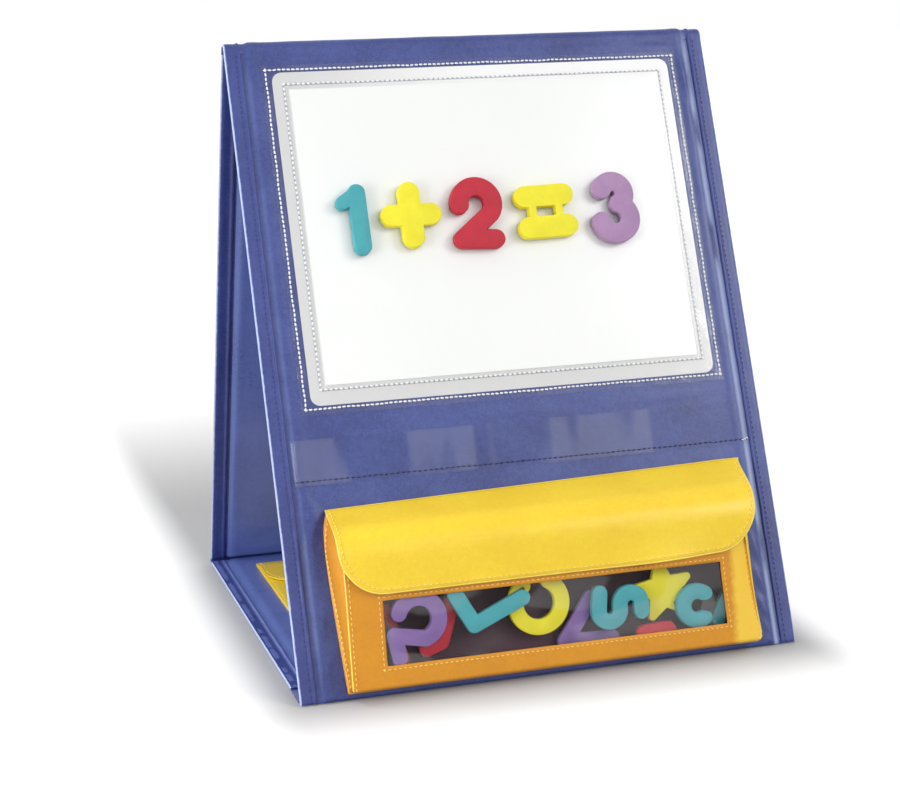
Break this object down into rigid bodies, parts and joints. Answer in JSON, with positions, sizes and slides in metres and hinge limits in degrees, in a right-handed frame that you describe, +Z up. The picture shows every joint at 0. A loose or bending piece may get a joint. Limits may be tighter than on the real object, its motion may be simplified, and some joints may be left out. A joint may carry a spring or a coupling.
{
  "type": "tabletop pocket chart",
  "caption": "Folding tabletop A-frame with a magnetic dry-erase board, clear strip pocket, gusseted pouch and foam number magnets.",
  "frame": {"origin": "on the table, under the middle of the chart's overall box", "axes": "+Z up, -Y towards the board side, +X to the right as seen facing the board"},
  "size_m": [0.305, 0.3014, 0.362],
  "materials": {
    "blue_vinyl": "satin",
    "blue_tape": "satin",
    "yellow_vinyl": "satin",
    "clear_vinyl": "gloss",
    "chipboard": "matte",
    "white_face": "gloss",
    "steel": "satin",
    "magnet_sheet": "matte",
    "hook_and_loop": "matte",
    "foam_yellow": "matte",
    "foam_red": "matte",
    "foam_purple": "matte",
    "foam_teal": "matte"
  },
  "bodies": {
    "front_panel": {"board_cover": "clear_vinyl", "front_binding_left": "blue_tape", "front_binding_right": "blue_tape", "front_board": "chipboard", "front_cover": "blue_vinyl", "front_loop_strip": "hook_and_loop", "loose_angle": "foam_purple", "loose_bar": "foam_teal", "loose_corner": "foam_teal", "loose_curve": "foam_teal", "loose_hook": "foam_red", "loose_magnets": "magnet_sheet", "loose_minus": "foam_red", "loose_one": "foam_red", "loose_ring": "foam_yellow", "loose_spiral": "foam_teal", "loose_star": "foam_yellow", "loose_two": "foam_purple", "pouch_back": "yellow_vinyl", "pouch_front": "yellow_vinyl", "pouch_gusset_left": "yellow_vinyl", "pouch_gusset_right": "yellow_vinyl", "pouch_loop_strip": "hook_and_loop", "pouch_window": "clear_vinyl", "steel_sheet": "steel", "strip_pocket": "clear_vinyl", "white_board": "white_face"},
    "pouch_flap": {"pouch_flap": "yellow_vinyl", "flap_hook_strip": "hook_and_loop"},
    "foam_one": {"foam_one": "foam_teal", "magnet_one": "magnet_sheet"},
    "foam_plus": {"foam_plus": "foam_yellow", "magnet_plus": "magnet_sheet"},
    "foam_two": {"foam_two": "foam_red", "magnet_two": "magnet_sheet"},
    "foam_equals": {"foam_equals": "foam_yellow", "magnet_equals": "magnet_sheet"},
    "foam_three": {"foam_three": "foam_purple", "magnet_three": "magnet_sheet"},
    "back_panel": {"back_board": "chipboard", "back_cover": "blue_vinyl", "back_binding_left": "blue_tape", "back_binding_right": "blue_tape", "top_hinge": "blue_vinyl", "back_pocket_1": "clear_vinyl", "back_pocket_2": "clear_vinyl", "back_pocket_3": "clear_vinyl", "back_pocket_4": "clear_vinyl"},
    "base_panel": {"base_board": "chipboard", "base_cover": "blue_vinyl", "base_binding_left": "blue_tape", "base_binding_right": "blue_tape", "rear_hinge": "blue_vinyl", "base_apron": "blue_vinyl", "base_pouch": "yellow_vinyl"},
    "base_flap": {"base_flap": "yellow_vinyl"},
    "closing_tab": {"tab_leaf": "blue_vinyl", "tab_hook_strip": "hook_and_loop"}
  },
  "joints": [
    {"name": "back_fold", "type": "hinge", "parent": "front_panel", "child": "back_panel", "pos_m": [0, 0.00492, 0.3571], "axis": [-1, 0, 0], "range_deg": [0, 43.4], "deforming": ["top_hinge"]},
    {"name": "base_fold", "type": "hinge", "parent": "back_panel", "child": "base_panel", "pos_m": [0, 0.15395, -0.001], "axis": [1, 0, 0], "range_deg": [0, 291.6], "deforming": ["rear_hinge"]},
    {"name": "tab_fold", "type": "hinge", "parent": "base_panel", "child": "closing_tab", "pos_m": [0, -0.13497, 0.0014], "axis": [-1, 0, 0], "range_deg": [0, 65.5]},
    {"name": "flap_swing", "type": "hinge", "parent": "front_panel", "child": "pouch_flap", "pos_m": [0, -0.10309, 0.10411], "axis": [-1, 0, 0], "range_deg": [0, 115]},
    {"name": "base_flap_swing", "type": "hinge", "parent": "base_panel", "child": "base_flap", "pos_m": [0, 0.12247, 0.0052], "axis": [-1, 0, 0], "range_deg": [0, 88]},
    {"name": "foam_one_lift", "type": "slide", "parent": "front_panel", "child": "foam_one", "axis": [0, -0.929, 0.3701], "range_m": [0, 0.03]},
    {"name": "foam_plus_lift", "type": "slide", "parent": "front_panel", "child": "foam_plus", "axis": [0, -0.929, 0.3701], "range_m": [0, 0.03]},
    {"name": "foam_two_lift", "type": "slide", "parent": "front_panel", "child": "foam_two", "axis": [0, -0.929, 0.3701], "range_m": [0, 0.03]},
    {"name": "foam_equals_lift", "type": "slide", "parent": "front_panel", "child": "foam_equals", "axis": [0, -0.929, 0.3701], "range_m": [0, 0.03]},
    {"name": "foam_three_lift", "type": "slide", "parent": "front_panel", "child": "foam_three", "axis": [0, -0.929, 0.3701], "range_m": [0, 0.03]}
  ],
  "couplings": [
    {"joint": "base_fold", "follows": "back_fold", "ratio": 6.714},
    {"joint": "tab_fold", "follows": "back_fold", "ratio": 1.5}
  ]
}
